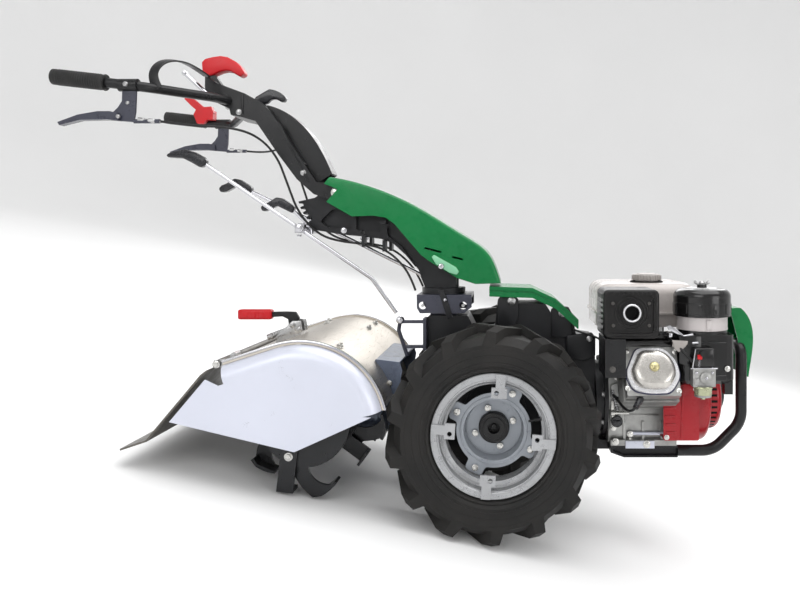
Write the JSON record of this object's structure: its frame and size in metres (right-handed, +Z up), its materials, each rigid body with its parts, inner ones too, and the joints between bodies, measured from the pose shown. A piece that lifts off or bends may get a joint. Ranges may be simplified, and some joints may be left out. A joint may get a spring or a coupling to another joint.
{
  "type": "walking tractor",
  "caption": "Two-wheeled walking tractor with lugged tyres, petrol engine in front, long handlebars on a swivelling column and a rear rotary tiller under a rounded hood",
  "frame": {"origin": "Centre of the bottom of the bounding box, on the floor that the wheels and the tiller stand on", "axes": "+X forward towards the engine, +Y to the machine's left, +Z up. The machine is stored leaned back about its axle until the tiller's hoes touch the floor, as it parks"},
  "size_m": [1.8072, 0.6134, 1.0102],
  "materials": {
    "tyre": "matte",
    "silver_rim": "satin",
    "grey_disc": "satin",
    "black_steel": "satin",
    "cast_black": "painted",
    "green_sheet": "gloss",
    "red_sheet": "gloss",
    "engine_alloy": "cast",
    "tank_grey": "gloss",
    "stainless": "brushed",
    "silver_cheek": "satin",
    "tine_steel": "satin",
    "grip_rubber": "matte",
    "red_grip": "satin",
    "chrome_rod": "polished",
    "blue_steel": "satin",
    "knob_black": "satin",
    "housing_alloy": "painted",
    "cover_green": "gloss",
    "cleaner_black": "gloss",
    "cleaner_grey": "satin",
    "cable_black": "satin"
  },
  "bodies": {
    "chassis": {"gear_case": "housing_alloy", "clutch_housing": "housing_alloy", "crankcase": "engine_alloy", "cylinder": "engine_alloy", "valve_cover": "engine_alloy", "fuel_tank": "tank_grey", "tank_cap": "tank_grey", "engine_brackets": "black_steel", "muffler": "black_steel", "air_cleaner_base": "cleaner_black", "air_cleaner_band": "cleaner_grey", "air_cleaner_cap": "cleaner_black", "carburettor": "engine_alloy", "fan_shroud": "red_sheet", "front_shield": "green_sheet", "engine_plate": "cast_black", "bumper": "black_steel", "column_base": "cast_black", "front_cover": "cover_green", "tiller_hood": "stainless", "tiller_cheek_right": "silver_cheek", "tiller_cheek_left": "silver_cheek", "tiller_case": "blue_steel", "tiller_bracket": "blue_steel", "flap_hinge": "black_steel", "depth_lever": "chrome_rod", "depth_lever_grip": "red_grip"},
    "wheel_right": {"tyre_right": "tyre", "rim_right": "silver_rim", "wheel_disc_right": "grey_disc", "hub_right": "black_steel"},
    "wheel_left": {"tyre_left": "tyre", "rim_left": "silver_rim", "wheel_disc_left": "grey_disc", "hub_left": "black_steel"},
    "rotor": {"tiller_rotor": "tine_steel"},
    "flap": {"rear_flap": "stainless"},
    "column": {"column_arm": "cast_black", "column_cover": "cover_green", "gear_rods": "chrome_rod", "gear_knobs": "knob_black", "cables_lower": "cable_black"},
    "handlebars": {"console": "black_steel", "console_back": "black_steel", "handle_tubes": "black_steel", "grips": "grip_rubber", "brake_levers": "blue_steel", "stop_lever": "red_grip", "bail_bar": "black_steel", "hook_handle": "red_grip", "hook_lever": "knob_black", "cables_upper": "cable_black"}
  },
  "joints": [
    {"name": "wheel_right_spin", "type": "hinge", "parent": "chassis", "child": "wheel_right", "pos_m": [0.27545, -0.225, 0.24974], "axis": [0, 1, 0], "continuous": true},
    {"name": "wheel_left_spin", "type": "hinge", "parent": "chassis", "child": "wheel_left", "pos_m": [0.27545, 0.225, 0.24974], "axis": [0, 1, 0], "continuous": true},
    {"name": "rotor_spin", "type": "hinge", "parent": "chassis", "child": "rotor", "pos_m": [-0.16167, 0, 0.16927], "axis": [0, 1, 0], "continuous": true},
    {"name": "flap_lift", "type": "hinge", "parent": "chassis", "child": "flap", "pos_m": [-0.38267, 0, 0.26808], "axis": [0, 1, 0], "range_deg": [0, 60]},
    {"name": "column_swivel", "type": "hinge", "parent": "chassis", "child": "column", "pos_m": [0.07098, 0, 0.52085], "axis": [-0.2257, 0, 0.9742], "range_deg": [-20, 20]},
    {"name": "handlebar_tilt", "type": "hinge", "parent": "column", "child": "handlebars", "pos_m": [-0.2589, 0, 0.71747], "axis": [0, 1, 0], "range_deg": [-8, 12]}
  ]
}
